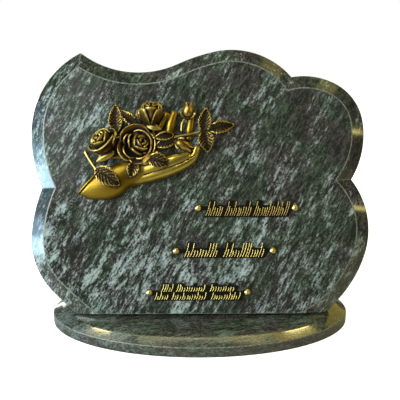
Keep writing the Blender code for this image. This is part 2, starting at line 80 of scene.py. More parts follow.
class Wire:
    def __init__(self, tree, socket=None):
        self.tree = tree
        self.socket = socket

    def make(self, kind, settings=None, sockets=None, output=0):
        node = self.tree.nodes.new(kind)
        for name, value in (settings or {}).items():
            setattr(node, name, value)
        for name, value in (sockets or {}).items():
            self.plug(node.inputs[name], value)
        return Wire(self.tree, node.outputs[output])

    def plug(self, socket, value):
        if isinstance(value, Wire):
            self.tree.links.new(value.socket, socket)
        else:
            socket.default_value = value

    def sum(self, operation, a, b=0.0):
        return self.make("ShaderNodeMath", {"operation": operation}, {0: a, 1: b})

    def __add__(self, other):
        return self.sum("ADD", self, other)

    def __radd__(self, other):
        return self.sum("ADD", other, self)

    def __sub__(self, other):
        return self.sum("SUBTRACT", self, other)

    def __rsub__(self, other):
        return self.sum("SUBTRACT", other, self)

    def __mul__(self, other):
        return self.sum("MULTIPLY", self, other)

    def __rmul__(self, other):
        return self.sum("MULTIPLY", other, self)

    def __truediv__(self, other):
        return self.sum("DIVIDE", self, other)

    def most(self, other):
        return self.sum("MAXIMUM", self, other)

    def size(self):
        return self.sum("ABSOLUTE", self)

    def ease(self, low, high):
        settings = {"interpolation_type": "SMOOTHSTEP"}
        return self.make("ShaderNodeMapRange", settings, {0: self, 1: low, 2: high})

    def vector(self, operation, other, output=0):
        sockets = {0: self, 1: tuple(other)}
        return self.make("ShaderNodeVectorMath", {"operation": operation}, sockets, output)

    def dot(self, direction):
        return self.vector("DOT_PRODUCT", direction, 1)

    def blend(self, low, high, kind="MIX"):
        low, high = [c if isinstance(c, Wire) else (*c, 1.0) for c in (low, high)]
        settings = {"data_type": "RGBA", "blend_type": kind}
        return self.make("ShaderNodeMix", settings, {0: self, 6: low, 7: high}, 2)

    def grey(self):
        return self.make("ShaderNodeCombineColor", {}, {0: self, 1: self, 2: self})

    def noise(self, size, detail=3.0, roughness=0.55):
        sockets = {"Vector": self, "Scale": 1 / size, "Detail": detail, "Roughness": roughness}
        return self.make("ShaderNodeTexNoise", {}, sockets)

    def attribute(self, name):
        return self.make("ShaderNodeAttribute", {"attribute_name": name}, {}, 2)


def startMaterial(name):
    material = bpy.data.materials.new(name)
    material.use_nodes = True
    wire = Wire(material.node_tree)
    place = wire.make("ShaderNodeTexCoord", output=3)
    return material, wire, place.vector("MULTIPLY", (1 / mm, 1 / mm, 1 / mm))


def finish(material, values):
    shader = material.node_tree.nodes["Principled BSDF"]
    wire = Wire(material.node_tree)
    for name, value in values.items():
        wire.plug(shader.inputs[name], (*value, 1.0) if isinstance(value, tuple) else value)
    return material


# Stone. Pale flecks and dark grains run one way through the block, and the sawn sides are matt.

graniteLook = {
    "dark": (0.008, 0.012, 0.008),
    "green": (0.076, 0.100, 0.070),
    "purple": (0.084, 0.072, 0.068),
    "pale": (0.37, 0.45, 0.45),
    "arris": (0.21, 0.235, 0.215),
    "sawn": (0.16, 0.17, 0.16),
    "polish": 0.10,
    "thinning": 0.00016,  # pale flecks are fewer towards the right, per millimetre
    "thinningUp": 0.00022,  # and towards the top
    "middle": 170,
    "grain": 1.9,  # millimetres, and so are the lengths and widths below
    "fineStreak": (7.0, 2.2),
    "broadStreak": (22.0, 5.6),
    "cloud": (60.0, 22.0),
    "groundRange": (0.38, 0.64),
    "fleckRange": (0.505, 0.70),
    "ior": 1.75,
    "sawnRoughness": 0.6,
}


def granite(name, along, sawnSide, sawnLevel, seed, contrast, scale=1.0):
    look = graniteLook
    material, wire, place = startMaterial(name)
    along = Vector(along).normalized()
    beside = along.orthogonal().normalized()
    third = along.cross(beside)
    moved = place.vector("ADD", (seed, 2 * seed, -seed))
    sway = moved.noise(60, 2.0) - 0.5
    a, b, c = moved.dot(along), moved.dot(beside) + sway * 20, moved.dot(third) + sway * 12

    def streaks(name, detail, roughness):
        length, width = look[name]
        flow = wire.make("ShaderNodeCombineXYZ", {}, {0: a / length, 1: b / width, 2: c / width})
        flow = flow.vector("MULTIPLY", (1 / scale, 1 / scale, 1 / scale))
        return flow.noise(1.0, detail, roughness)

    grain = moved.noise(look["grain"], 2.0, 0.7)
    fine, broad = streaks("fineStreak", 3.0, 0.65), streaks("broadStreak", 3.0, 0.62)
    cloud = streaks("cloud", 2.0, 0.5) - 0.5
    tint = moved.noise(40, 2.0).ease(0.42, 0.60).blend(look["green"], look["purple"])
    body = fine * 0.5 + broad * 0.4 + grain * 0.30 - 0.1 + cloud * 0.10
    ground = body.ease(*look["groundRange"]).blend(look["dark"], tint)
    spread = cloud * 0.38 - place.dot(across) * look["thinning"]
    spread = spread - (place.dot((0, 0, 1)) - look["middle"]).most(-120) * look["thinningUp"]
    flecks = broad * 0.5 + fine * 0.42 + grain * 0.28 - 0.1 + spread
    flecks = flecks.ease(*look["fleckRange"]) * contrast
    colour = flecks.blend(ground, look["pale"])
    sawn = place.dot(sawnSide).ease(sawnLevel - 0.3, sawnLevel - 0.1)
    colour = (sawn * 0.75).blend(colour, look["sawn"])
    roughness = look["polish"] + grain * 0.04 + sawn * look["sawnRoughness"]
    return finish(material, {"Base Color": colour, "Roughness": roughness, "IOR": look["ior"]})


def honedEdge():
    material, wire, place = startMaterial("granite_arris")
    flecks = place.noise(2.2, 3.0).ease(0.35, 0.65)
    colour = flecks.blend(graniteLook["green"], graniteLook["arris"])
    return finish(material, {"Base Color": colour, "Roughness": 0.26 + flecks * 0.1})


streakDirection = across * cos(radians(61)) + upward * sin(radians(61))
tabletBack = (onTablet @ Vector((0, 0, -stand["thickness"]))).dot(-outward) / mm
tabletStone = granite("tablet_granite", streakDirection, -outward, tabletBack, 37.0, 1.0)
footStone = granite("foot_granite", (1, 0.22, 0.1), (0, 0, -1), 0.0, 210.0, 0.22, 0.6)
arrisStone = honedEdge()
print("materials: granite")


# Slabs. The thin rounding of every arris catches the light.

slab = {
    "arris": 0.8 * mm,
    "arrisSteps": 3,
    "arrisAngle": radians(18),
    "shoulder": 7 * mm,  # soft rounding between the foot's level top and its bevel
    "shoulderSteps": 7,
}


def plainMesh(obj):
    graph = bpy.context.evaluated_depsgraph_get()
    mesh = bpy.data.meshes.new_from_object(obj.evaluated_get(graph))
    obj.modifiers.clear()
    obj.data = mesh
    return obj


def newObject(name, mesh):
    obj = bpy.data.objects.new(name, mesh)
    bpy.context.scene.collection.objects.link(obj)
    return obj


def fromBmesh(name, bm):
    mesh = bpy.data.meshes.new(name)
    bm.to_mesh(mesh)
    bm.free()
    return newObject(name, mesh)


def cadCopy(node):
    bm = bmesh.new()
    bm.from_mesh(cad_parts[node].data)
    bmesh.ops.remove_doubles(bm, verts=bm.verts, dist=0.01 * mm)
    bmesh.ops.dissolve_limit(bm, angle_limit=radians(0.5), verts=bm.verts, edges=bm.edges)
    bmesh.ops.recalc_face_normals(bm, faces=bm.faces)
    return bm


def cutAway(bm, point, normal, below=False):
    geometry = bm.verts[:] + bm.edges[:] + bm.faces[:]
    side = {"clear_inner": True} if below else {"clear_outer": True}
    bmesh.ops.bisect_plane(bm, geom=geometry, plane_co=point, plane_no=normal, **side)
    bmesh.ops.holes_fill(bm, edges=[e for e in bm.edges if e.is_boundary], sides=0)


def roundArrises(obj, width, steps, angle, material=-1):
    obj.data.shade_smooth()
    rounding = obj.modifiers.new("arris", "BEVEL")
    rounding.width = width
    rounding.segments = steps
    rounding.limit_method = "ANGLE"
    rounding.angle_limit = angle
    rounding.use_clamp_overlap = False
    rounding.miter_outer = "MITER_ARC"
    rounding.material = material
    weighting = obj.modifiers.new("wide faces stay flat", "WEIGHTED_NORMAL")
    weighting.weight = 100
    return plainMesh(obj)


def dress(obj, materials, slotName, *nodes):
    kept = [min(face.material_index, len(materials) - 1) for face in obj.data.polygons]
    obj.data.materials.clear()
    for material in materials:
        obj.data.materials.append(material)
    obj.data.polygons.foreach_set("material_index", kept)
    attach(obj, body)
    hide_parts(*nodes)


def roundShoulder(bm):
    def isShoulder(edge):
        tilts = sorted(face.normal.z for face in edge.link_faces)
        return len(tilts) == 2 and tilts[1] > 0.99 and 0.5 < tilts[0] < 0.99

    bmesh.ops.bevel(
        bm,
        geom=[edge for edge in bm.edges if isShoulder(edge)],
        offset=slab["shoulder"],
        segments=slab["shoulderSteps"],
        profile=0.5,
        affect="EDGES",
    )


def makeSlab(name, node, stone, shoulder=False):
    bm = cadCopy(node)
    if shoulder:
        roundShoulder(bm)
    obj = fromBmesh(name, bm)
    for material in (stone, arrisStone):
        obj.data.materials.append(material)
    roundArrises(obj, slab["arris"], slab["arrisSteps"], slab["arrisAngle"], 1)
    dress(obj, (stone, arrisStone), "granite", node)
    print(name + ":", len(obj.data.polygons), "faces")


makeSlab("granite_tablet", "tablet", tabletStone)
makeSlab("granite_foot", "base", footStone, shoulder=True)


# Hand and roses: every form is a closed skin, and the skins are fused into one casting

casting = {
    "grain": 0.5,  # size of the fused surface, millimetres
    "faces": 190000,
    "petalWall": 1.7,
    "petalLip": 0.7,  # share of a petal's length where its lip starts to curl
    "petalRound": 3.0,
    "leafWall": 1.6,
    "veinRise": 0.8,
    "veinSlope": 2.2,
    "cuffPoint": (-133.0, 153.5),
    "cuffNormal": (-0.74, 0.67),
    # Grooves in the hand: half width, depth and the line, along the cuff and along the crease
    "grooves": (
        (1.0, 1.3, ((-145, 136.2), (-117, 167.1))),
        (0.7, 0.9, ((-66, 162.6), (-60.8, 163.9), (-46.5, 168.2), (-32.1, 172.2),
                    (-20.7, 176.8), (-6, 185.2))),
    ),
    "handRounds": 4,  # smoothing where the hand's skins meet
    "handPower": 0.72,  # below 1 the hand's sections are flatter on top than an ellipse
    "capAngles": (30, 55, 75),  # rings that round off the end of a limb, in degrees
    "capReach": 0.6,
    "shadeReach": 9.0,
    "shadeRays": 60,
    "crestRounds": 12,  # smoothing that a crest is measured against
}
skins = {"hand": bmesh.new(), "flower": bmesh.new(), "leaf": bmesh.new()}


def sheet(bm, surface, acrossSteps, alongSteps, wall):
    step = 0.02

    def normal(s, t):
        ds = surface(min(s + step, 1), t) - surface(max(s - step, -1), t)
        dt = surface(s, min(t + step, 1)) - surface(s, max(t - step, 0))
        return ds.cross(dt).normalized()

    front, back = {}, {}
    for i in range(acrossSteps + 1):
        for j in range(alongSteps + 1):
            s, t = 2 * i / acrossSteps - 1, j / alongSteps
            point, shift = surface(s, t), normal(s, t) * (wall(s, t) / 2)
            front[i, j] = bm.verts.new(point + shift)
            back[i, j] = bm.verts.new(point - shift)
    for i in range(acrossSteps):
        for j in range(alongSteps):
            quad = ((i, j), (i + 1, j), (i + 1, j + 1), (i, j + 1))
            bm.faces.new([front[k] for k in quad])
            bm.faces.new([back[k] for k in reversed(quad)])
    rim = [(i, 0) for i in range(acrossSteps)]
    rim += [(acrossSteps, j) for j in range(alongSteps)]
    rim += [(i, alongSteps) for i in range(acrossSteps, 0, -1)]
    rim += [(0, j) for j in range(alongSteps, 0, -1)]
    for a, b in zip(rim, rim[1:] + rim[:1]):
        bm.faces.new((front[b], front[a], back[a], back[b]))


def through(points, share):
    spans = len(points) - 1
    place = min(share * spans, spans - 1e-9)
    i, t = int(place), place - int(place)
    around = [points[min(max(i + k, 0), spans)] for k in (-1, 0, 1, 2)]

    def smooth(a, b, c, d):
        square, cube = 2 * a - 5 * b + 4 * c - d, 3 * b - a - 3 * c + d
        return 0.5 * (2 * b + (c - a) * t + square * t**2 + cube * t**3)

    return [smooth(*values) for values in zip(*around)]


def boxy(value, power):
    return abs(value) ** power * (1 if value > 0 else -1)


def limb(bm, stations, sides=28, steps=40, power=1.0):
    rows = [through(stations, i / steps) for i in range(steps + 1)]
    rings = []
    for i, (x, y, z, wide, high) in enumerate(rows):
        before, after = rows[max(i - 1, 0)], rows[min(i + 1, steps)]
        along = Vector((after[0] - before[0], after[1] - before[1], 0)).normalized()
        beside = Vector((-along.y, along.x, 0))
        ring = []
        for turn in (2 * pi * k / sides for k in range(sides)):
            middle = Vector((x, y, z + high * boxy(sin(turn), power)))
            ring.append(middle + beside * wide * cos(turn))
        rings.append(ring)
    for end, step in ((0, 1), (-1, -2)):
        tip = sum(rings[end], Vector()) / sides
        ahead = (tip - sum(rings[step], Vector()) / sides).normalized()
        reach = casting["capReach"] * min(rows[end][3], rows[end][4])
        ring = rings[end]
        for angle in casting["capAngles"]:
            share, bulge = cos(radians(angle)), sin(radians(angle)) * reach
            cap = [tip + (point - tip) * share + ahead * bulge for point in ring]
            rings.insert(0 if end == 0 else len(rings), cap)
    loft(bm, rings)


def loft(bm, rings):
    made = [[bm.verts.new(point) for point in ring] for ring in rings]
    count = len(made[0])
    for lower, upper in zip(made, made[1:]):
        for i in range(count):
            j = (i + 1) % count
            bm.faces.new((lower[i], lower[j], upper[j], upper[i]))
    bm.faces.new(list(reversed(made[0])))
    bm.faces.new(made[-1])


def leaf(bm, base, tip, width, lift=1.5, fold=0.35, veins=0):
    base, tip = Vector(base), Vector(tip)
    along = tip - base
    beside = Vector((-along.y, along.x, 0)).normalized()
    slope, rise = casting["veinSlope"], casting["veinRise"]

    def feather(s, t):
        half = width / 2 * sin(pi * min(t**0.8, 1.0)) ** 0.75 + 0.25
        phase = (t * veins - abs(s) * slope) % 1 - 0.5
        if veins:
            half *= 0.88 + 0.24 * ((t * veins - slope) % 1)
        ridge = exp(-((phase / 0.19) ** 2)) * min(1, abs(s) * 6) * (1 - abs(s) ** 6)
        rib = exp(-((s * half / 0.55) ** 2))
        return half * s, rise * (ridge + 1.2 * rib) if veins else 0.0

    def surface(s, t):
        side, relief = feather(s, t)
        height = lift * sin(pi * t) + fold * abs(side) + relief
        return base + along * t + beside * side + Vector((0, 0, height))

    steps = (24, 60) if veins else (10, 14)
    sheet(bm, surface, *steps, lambda s, t: casting["leafWall"])


def petal(bm, centre, axis, facing, spread, rim, height, close=0.0, curl=0.0, point=0.2):
    axis = Vector(axis).normalized()
    first = Vector((0, 0, 1)).cross(axis)
    first = first.normalized() if first.length > 0.01 else Vector((1, 0, 0))
    second = axis.cross(first)
    centre, lipStart = Vector(centre), casting["petalLip"]

    def surface(s, t):
        t = t * (1 - point * abs(s) ** casting["petalRound"])
        lip = max(0.0, (t - lipStart) / (1 - lipStart)) ** 2
        turn = facing + spread / 2 * s
        reach = rim * sin((pi / 2 + close) * t) + curl * lip
        rise = height * (1 - cos(pi / 2 * t)) - curl * lip
        away = first * cos(turn) + second * sin(turn)
        return centre + away * max(reach, 0.3) + axis * rise

    sheet(bm, surface, 20, 16, lambda s, t: casting["petalWall"] * (0.8 + 0.45 * t**6))


def rose(centre, axis, rings):
    for count, facing, spread, *shape in rings:
        for i in range(count):
            turn = radians(facing + 360 * i / count)
            petal(skins["flower"], centre, axis, turn, radians(spread), *shape)


def bud(base, tip, radius, sepals=3):
    base, tip = Vector(base), Vector(tip)
    along = tip - base
    stations = []
    for share, wide in ((0, 0.6), (0.25, 1.0), (0.6, 1.0), (0.85, 0.8), (1, 0.45)):
        stations.append((*(base + along * share), radius * wide, radius * wide))
    limb(skins["flower"], stations)
    for turn in (40, 140, 250):
        shape = (radians(turn), 2.2, radius * 1.1, along.length * 1.05, 0.95, 0.0, 0.5)
        petal(skins["flower"], base, along, *shape)
    beside = Vector((-along.y, along.x, 0)).normalized()
    for i in range(sepals):
        side = 2 * i / (sepals - 1) - 1
        end = base + along * 0.35 + beside * side * radius * 1.6 + Vector((0, 0, radius * 0.7))
        leaf(skins["leaf"], base, end, radius * 0.9, 0.8, 0.0)


# Each limb: stations of across, up, out, half width and half height
handLimbs = (
    ((-147, 150, 0, 8, 7), (-132, 150.5, 0, 15, 10), (-118, 150.5, 0, 17, 12),
     (-106, 153.5, 0, 18.5, 12.5), (-92, 161.5, 0, 17, 12), (-76, 166.5, 0, 15, 11),
     (-58, 171.5, 0, 13, 10), (-42, 177.5, 0, 10.5, 9), (-22, 184.5, 0, 6, 7)),
    ((-90, 161, -5, 9, 8), (-70, 166, 1, 9.5, 8.4), (-50, 172, 4.6, 9.5, 8.2),
     (-30, 179, 6.4, 8.4, 7.4), (-13, 185.6, 6.6, 5, 5.4)),
    ((-98, 152.5, -3, 6, 6), (-76, 157, 1.5, 6.6, 6.8), (-52, 163, 4.2, 6.8, 7),
     (-28, 171.2, 5.4, 6.4, 6.8), (-9.5, 181.8, 5.4, 5.2, 5.8), (-3.6, 194.5, 6, 4.4, 4.8)),
    ((-48, 216, 3, 3.8, 4), (-43.5, 226, 5, 4.0, 4.4), (-38, 233.6, 6, 3.6, 3.8)),
    ((-35.5, 205, 3, 4.4, 4), (-34, 222, 6, 5.0, 4.8), (-29.6, 235.6, 6, 4.3, 4)),
    ((-13, 205, 2, 4.0, 3.6), (-11.5, 218, 3, 4.4, 3.8), (-9.6, 231, 3, 3.8, 3.4)),
)
bedLimbs = (
    ((-118, 190, 0, 9, 5), (-98, 195, 0, 13, 4), (-72, 198, 0, 17, 3.5), (-52, 206, 0, 14, 4.5)),
    ((-76, 206, 0, 10, 5), (-62, 224, 0, 8, 6), (-57, 238, 0, 5, 5)),
    ((-56, 200, 0, 12, 5), (-36, 205, 0, 8, 5), (-16, 206, 0, 4, 4)),
)
stemLimbs = (
    ((-135, 190.5, 3, 2, 2), (-129, 180, 5, 1.6, 1.6), (-121, 169, 9, 1.6, 1.6)),
    ((-30, 207, 7, 2, 2), (-5, 212, 7, 1.5, 1.5), (16, 217, 7, 1.3, 1.3),
     (38, 221.5, 4.5, 0.9, 0.9)),
    ((-21.2, 210, 6, 1.6, 1.6), (-21.2, 222, 6, 1.5, 1.5), (-16, 230, 6, 1.8, 1.8)),
)
# Petals of a rose: count, first facing and spread in degrees, rim, height, close, curl, point
openRing = (
    (1, 105, 128, 21, 15, 0.0, 3.4, 0.22),
    (1, 205, 98, 20.5, 13.5, 0.0, 3.2, 0.25),
    (1, 285, 96, 20, 14.5, 0.0, 3.0, 0.25),
    (1, 10, 110, 19.5, 12.5, 0.0, 2.6, 0.25),
    (1, 45, 120, 17, 14.5, 0.0, 0.8, 0.2),
    (1, -40, 110, 16.5, 14, 0.0, 0.8, 0.2),
    (1, 222, 88, 16.2, 13, 0.0, 1.6, 0.3),
    (1, 148, 56, 16.0, 13.5, 0.0, 0.8, 0.3),
)
openBud = (
    (1, 40, 110, 13.4, 13.5, 0.1, 1.8, 0.5),
    (1, 130, 100, 13.2, 14.5, 0.1, 1.6, 0.5),
    (1, 215, 110, 12.6, 15.5, 0.1, 1.0, 0.4),
    (1, 310, 120, 12.6, 15.5, 0.1, 1.0, 0.4),
    (3, 35, 140, 9.8, 18, 0.3, 0.2, 0.2),
    (3, 95, 140, 6.8, 19.3, 0.35, 0.0, 0.2),
    (2, 30, 200, 3.6, 20, 0.4, 0.0, 0.1),
)
topRose = (
    (1, 44, 92, 13, 24, 0.2, 0.4, 0.7),
    (1, 138, 94, 13, 24, 0.2, 0.4, 0.7),
    (1, -8, 60, 14, 19, 0.0, 0.8, 0.3),
    (1, 270, 190, 12, 25, 0.3, 0.0, 0.2),
    (3, 90, 140, 8.8, 25.5, 0.35, 0.0, 0.2),
    (3, 30, 140, 6, 26.5, 0.4, 0.0, 0.2),
    (2, 0, 200, 3.2, 27, 0.4, 0.0, 0.1),
)
leftRose = (
    (1, 176, 120, 18, 16, 0.0, 2.2, 0.2),
    (1, 90, 140, 16, 17.5, 0.0, 1.2, 0.15),
    (1, 10, 120, 16, 18.5, 0.0, 1.4, 0.2),
    (1, 262, 120, 16.5, 19, 0.0, 1.2, 0.25),
    (3, 40, 140, 10.4, 21.5, 0.3, 0.2, 0.2),
    (3, 100, 140, 6.8, 23, 0.35, 0.0, 0.2),
    (2, 30, 200, 3.6, 23.6, 0.4, 0.0, 0.1),
)
# Petals that have dropped open: base point, tip, width
droppedPetals = (
    ((-110, 189, 8), (-130, 195.5, 8), 10),
    ((-100, 190, 10), (-121, 178.5, 7), 9),
    ((-67, 175, 11), (-49, 189.5, 11), 9),
    ((-70, 222, 6), (-73.5, 239, 6), 7),
    ((-62, 220.5, 11), (-45, 216, 10), 7),
)
# Leaves: base point, tip, width, pairs of veins
leaves = (
    ((-98.6, 213, 5), (-99.3, 245.5, 4), 16, 9),
    ((-74, 221, 6), (-92.5, 238, 5), 12, 7),
    ((-31, 209.5, 8), (-53, 206, 9), 10, 7),
    ((-30, 203, 7), (-52, 196, 8), 12, 7),
    ((-60, 182, 12), (-35.5, 175, 11.5), 18, 6),
    ((-75.5, 177, 9.6), (-81, 159.8, 10), 14, 5),
    ((-121.5, 170, 11), (-93.7, 150.6, 11.5), 20, 7),
    ((4.6, 212.5, 6), (7.4, 241.5, 3.5), 15, 8),
    ((11, 216, 6), (40, 222, 3.5), 14, 8),
    ((5.5, 214, 6.5), (9.5, 190, 3.5), 18, 7),
)


def cutCuff(bm):
    point = Vector((*casting["cuffPoint"], 0))
    cutAway(bm, point, Vector((*casting["cuffNormal"], 0)).normalized())


def fuse(name, parts, voxel):
    joined = bmesh.new()
    for part in parts:
        mesh = bpy.data.meshes.new("skin")
        part.to_mesh(mesh)
        joined.from_mesh(mesh)
    bmesh.ops.recalc_face_normals(joined, faces=joined.faces)
    obj = fromBmesh(name, joined)
    remesh = obj.modifiers.new("fuse", "REMESH")
    remesh.mode = "VOXEL"
    remesh.voxel_size = voxel
    return plainMesh(obj)


def keepLargest(bm):
    left, bodies = set(bm.verts), []
    while left:
        start = left.pop()
        found, ends = {start}, [start]
        while ends:
            vert = ends.pop()
            for edge in vert.link_edges:
                other = edge.other_vert(vert)
                if other in left:
                    left.remove(other)
                    found.add(other)
                    ends.append(other)
        bodies.append(found)
    bodies.sort(key=len)
    bmesh.ops.delete(bm, geom=[vert for found in bodies[:-1] for vert in found], context="VERTS")


def flattenBack(obj, level):
    bm = bmesh.new()
    bm.from_mesh(obj.data)
    keepLargest(bm)
    cutAway(bm, (0, 0, level), (0, 0, 1), below=True)
    keepLargest(bm)
    bmesh.ops.triangulate(bm, faces=bm.faces)
    bm.to_mesh(obj.data)
    bm.free()


def thin(obj, faces):
    if len(obj.data.polygons) > faces:
        fewer = obj.modifiers.new("thin", "DECIMATE")
        fewer.ratio = faces / len(obj.data.polygons)
        plainMesh(obj)


def pointsOf(mesh, source="co"):
    values = np.empty(len(mesh.vertices) * 3, np.float32)
    if source == "co":
        mesh.vertices.foreach_get("co", values)
    else:
        mesh.vertex_normals.foreach_get("vector", values)
    return values.reshape(-1, 3).astype(float)


def groovesOf(mesh):
    points = pointsOf(mesh)
    found = np.zeros((2, len(points)))
    for half, depth, line in casting["grooves"]:
        for a, b in zip(line, line[1:]):
            start, along = np.array(a), np.array(b) - np.array(a)
            flat = points[:, :2] - start
            share = np.clip(flat @ along / (along @ along), 0, 1)
            away = np.hypot(*(flat - share[:, None] * along).T)
            cut = np.clip(1 - (away / half) ** 2, 0, 1) * (points[:, 2] > 1.5)
            found = np.maximum(found, (cut, cut * depth))
    return found


def cutGrooves(mesh):
    points = pointsOf(mesh) - pointsOf(mesh, "normal") * groovesOf(mesh)[1][:, None]
    mesh.vertices.foreach_set("co", points.astype(np.float32).ravel())
    mesh.update()


def rayFan(count):
    golden = pi * (3 - 5**0.5)
    heights = [1 - 2 * (i + 0.5) / count for i in range(count)]
    return [
        Vector((sin(golden * i) * (1 - h * h) ** 0.5, cos(golden * i) * (1 - h * h) ** 0.5, h))
        for i, h in enumerate(heights)
    ]


def shadeOf(mesh, reach, rays):
    tree = BVHTree.FromPolygons([v.co for v in mesh.vertices], [p.vertices for p in mesh.polygons])
    fan = rayFan(rays)
    shade = np.zeros(len(mesh.vertices), np.float32)
    for i, (vert, normal) in enumerate(zip(mesh.vertices, mesh.vertex_normals)):
        normal = normal.vector
        start = vert.co + normal * 0.15
        blocked = total = 0.0
        for ray in fan:
            weight = ray.dot(normal)
            if weight > 0.15:
                total += weight
                distance = tree.ray_cast(start, ray, reach)[3]
                if distance is not None:
                    blocked += weight * (1 - 0.5 * distance / reach)
        shade[i] = blocked / total
    return shade


def linksOf(mesh):
    links = np.empty(len(mesh.edges) * 2, np.int32)
    mesh.edges.foreach_get("vertices", links)
    return links.reshape(-1, 2)


def spreadOver(links, values, rounds):
    count = len(values)
    ends = np.concatenate([links[:, 0], links[:, 1]])
    others = np.concatenate([links[:, 1], links[:, 0]])
    share = np.maximum(np.bincount(ends, minlength=count), 1)
    for _ in range(rounds):
        columns = values.reshape(count, -1)
        sums = [np.bincount(ends, column[others], count) for column in columns.T]
        values = (np.stack(sums, 1) / share[:, None]).reshape(values.shape) * 0.5 + values * 0.5
    return values


def saveAttribute(mesh, name, values):
    attribute = mesh.attributes.new(name, "FLOAT", "POINT")
    attribute.data.foreach_set("value", values.astype(np.float32))


def markSurface(mesh):
    links, points = linksOf(mesh), pointsOf(mesh)
    rays = casting["shadeRays"]
    shade = shadeOf(mesh, casting["shadeReach"], rays) + groovesOf(mesh)[0] * 0.6
    saveAttribute(mesh, "hollow", spreadOver(links, shade, 2))
    smooth = spreadOver(links, points, casting["crestRounds"])
    crest = ((points - smooth) * pointsOf(mesh, "normal")).sum(1)
    saveAttribute(mesh, "crest", spreadOver(links, crest, 1))
    for kind in ("hand", "leaf"):
        found = np.array(nearestKind(mesh) == kind, float)
        saveAttribute(mesh, kind, spreadOver(links, found, 3))


def nearestKind(mesh):
    kinds = [(kind, vert.co) for kind, bm in skins.items() for vert in bm.verts]
    tree = KDTree(len(kinds))
    for i, (_, place) in enumerate(kinds):
        tree.insert(place, i)
    tree.balance()
    return np.array([kinds[tree.find(vert.co)[1]][0] for vert in mesh.vertices])


# Evens out the hand's own skins where they meet, away from flowers and leaves
def calmHand(mesh):
    links, points = linksOf(mesh), pointsOf(mesh)
    share = spreadOver(links, np.array(nearestKind(mesh) == "hand", float), 6) ** 4
    share *= 1 - spreadOver(links, (groovesOf(mesh)[0] > 0).astype(float), 6) ** 0.5
    points += (spreadOver(links, points, casting["handRounds"]) - points) * share[:, None]
    points[:, 2] = np.maximum(points[:, 2], stand["clearance"])
    mesh.vertices.foreach_set("co", points.astype(np.float32).ravel())
    mesh.update()


def makeCasting(material):
    for limbStations in handLimbs:
        limb(skins["hand"], limbStations, power=casting["handPower"])
    cutCuff(skins["hand"])
    for limbStations in bedLimbs + stemLimbs:
        limb(skins["leaf"], limbStations)
    rose((-73.5, 197.6, 0), (0, 0, 1), openRing)
    rose((-77, 195.5, 2), (0.6, 0.33, 0.78), openBud)
    rose((-57.5, 221.5, 4), (0.05, 1.0, 0.55), topRose)
    rose((-107.5, 194.5, 3), (-0.64, 0.72, 0.8), leftRose)
    for base, tip, width in droppedPetals:
        leaf(skins["flower"], base, tip, width, 3.0, -0.3)
    bud((-14.5, 230, 6), (-12.8, 246, 7), 6.0)
    bud((-28, 202, 9), (-10, 192, 10), 4.8)
    for base, tip, width, veins in leaves:
        leaf(skins["leaf"], base, tip, width, veins=veins)
    obj = fuse("bronze_hand_and_roses", skins.values(), casting["grain"])
    flattenBack(obj, stand["clearance"])
    calmHand(obj.data)
    cutGrooves(obj.data)
    thin(obj, casting["faces"])
    markSurface(obj.data)
    obj.data.transform(onTablet)
    obj.data.shade_smooth()
    dress(obj, (material,), "casting_bronze", "hand_and_roses")
    return obj


bronzeLook = {
    "hollow": (0.006, 0.004, 0.004),
    "hand": (0.165, 0.100, 0.010),
    "handBright": (0.31, 0.20, 0.024),
    # colour of the painted highlight on the palm
    "palm": (0.56, 0.42, 0.08),
    "petal": (0.115, 0.060, 0.008),
    "leaf": (0.020, 0.012, 0.003),
    "crest": (0.52, 0.38, 0.11),
    "edgeTint": (1.0, 0.90, 0.68),
    "roughness": 0.38,
    "rubbedRange": (0.15, 0.34),  # of the crest, on flowers and leaves
    "skinRange": (0.04, 0.17),  # of the crest, on the hand
    "dirtRange": (-0.02, 0.20),  # of the hollow
    "highlightAcross": (-90, -40),  # painted highlight on the palm, brighter towards the fingers
    "palmTop": 202,
}


def bronze():
    look = bronzeLook
    material, wire, place = startMaterial("cast_bronze")
    hollow, crest = wire.attribute("hollow"), wire.attribute("crest")
    hand, leafy = wire.attribute("hand"), wire.attribute("leaf")
    mottle = place.noise(3.0, 3.0) - 0.5
    low = leafy.blend(look["petal"], look["leaf"])
    rubbed = (crest + mottle * 0.03 + leafy * 0.08).ease(*look["rubbedRange"])
    bloom = rubbed.blend(low, look["crest"])
    skin = (crest + mottle * 0.08).ease(*look["skinRange"])
    skin = skin.blend(look["hand"], look["handBright"])
    # Painted highlight: the palm turns paler towards the fingers and stops below their roots,
    # standing in for the lamps' sheen on it
    paintedHighlight = (place.dot(across) + mottle * 20).ease(*look["highlightAcross"])
    palmTop = (onTablet @ Vector((0, look["palmTop"], 0))).dot(upward) / mm
    paintedHighlight = paintedHighlight * (palmTop - place.dot(upward)).ease(0, 6)
    palm = paintedHighlight.blend(skin, look["palm"])
    gold = hand.blend(bloom, palm)
    dirt = (hollow + mottle * 0.14 - crest - hand * 0.22).ease(*look["dirtRange"])
    colour = dirt.blend(gold, look["hollow"])
    roughness = look["roughness"] + dirt * 0.3 + mottle * 0.1 - paintedHighlight * hand * 0.1
    values = {"Base Color": colour, "Roughness": roughness}
    values |= {"Metallic": 1 - dirt * 0.8, "Specular Tint": look["edgeTint"]}
    return finish(material, values)


print("casting:", len(makeCasting(bronze()).data.polygons), "faces")


# Strips: a dark plate with a row of bowed strokes rubbed to gold

strip = {
    "plateTop": 1.9,  # above the stone
    "arris": 0.3,
    "width": 1.5,
    "rise": 0.9,
    "sunk": 0.2,  # middle of a stroke, below the plate's face
    "slant": radians(18),
    "bow": 0.45,
    "tallShare": 0.16,
    "seed": 11,
}
